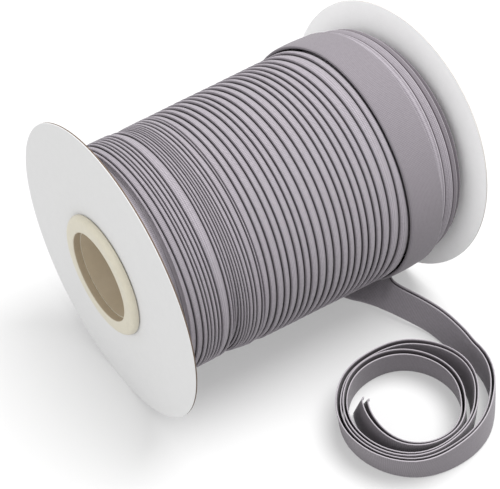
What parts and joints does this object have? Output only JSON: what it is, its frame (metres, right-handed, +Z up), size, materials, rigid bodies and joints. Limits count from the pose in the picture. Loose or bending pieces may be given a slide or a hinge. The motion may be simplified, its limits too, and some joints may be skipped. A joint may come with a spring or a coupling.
{
  "type": "bias binding roll",
  "caption": "Spool with two card discs, wound full with overlapping turns of double-fold bias tape, its free end turned up on its fold and lying in a loose coil.",
  "frame": {"origin": "middle of the surface under the roll and its loose end: the bottom centre of the bounding box", "axes": "+Z up, X along the spool's axis with the barer card disc at -X, -Y towards the coil of loose tape"},
  "size_m": [0.123, 0.149, 0.1018],
  "materials": {
    "tape": "plain woven cloth cut on the bias, matt",
    "card": "white faced card, matt",
    "hub": "cream moulded plastic, satin"
  },
  "bodies": {
    "root": {"core_tube": "hub", "collar_near": "hub", "collar_far": "hub", "flange_near": "card", "flange_far": "card", "winding": "tape", "loose_end": "tape"}
  },
  "joints": []
}
